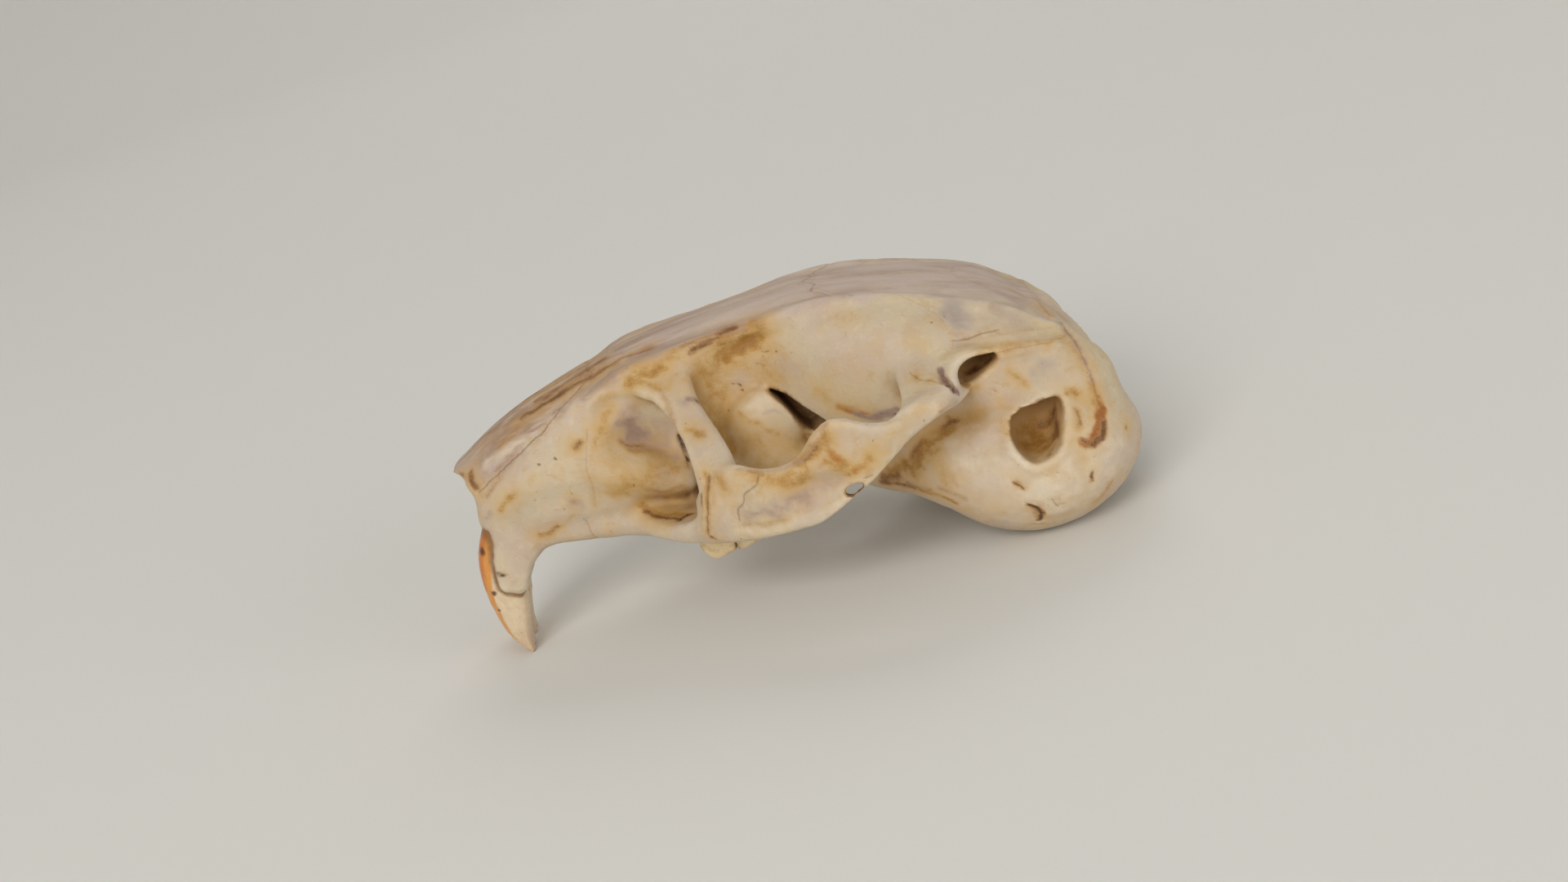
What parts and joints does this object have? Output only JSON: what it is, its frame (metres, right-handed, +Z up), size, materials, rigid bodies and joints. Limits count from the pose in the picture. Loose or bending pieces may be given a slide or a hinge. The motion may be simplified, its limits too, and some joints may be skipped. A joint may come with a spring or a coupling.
{
  "type": "tuco-tuco skull without lower jaw",
  "caption": "Upper skull of a small burrowing rodent: arched braincase, open cheek arches, round ear capsules, long curved incisors and short cheek teeth. The lower jaw is absent.",
  "frame": {"origin": "on the table under the middle of the skull's length and width", "axes": "+X from the snout to the back of the head, +Y to the skull's right side, +Z up from the table"},
  "size_m": [0.0452, 0.029, 0.0185],
  "materials": {
    "bone": "matte dry bone, cream with ochre and brown stains",
    "incisor": "glossy, orange enamel in front and cream dentine behind",
    "cheek_tooth": "satin, cream to ochre"
  },
  "bodies": {
    "root": {"cranium": "bone", "incisor_left": "incisor", "incisor_right": "incisor", "cheek_tooth_left_1": "cheek_tooth", "cheek_tooth_left_2": "cheek_tooth", "cheek_tooth_left_3": "cheek_tooth", "cheek_tooth_left_4": "cheek_tooth", "cheek_tooth_right_1": "cheek_tooth", "cheek_tooth_right_2": "cheek_tooth", "cheek_tooth_right_3": "cheek_tooth", "cheek_tooth_right_4": "cheek_tooth"}
  },
  "joints": []
}
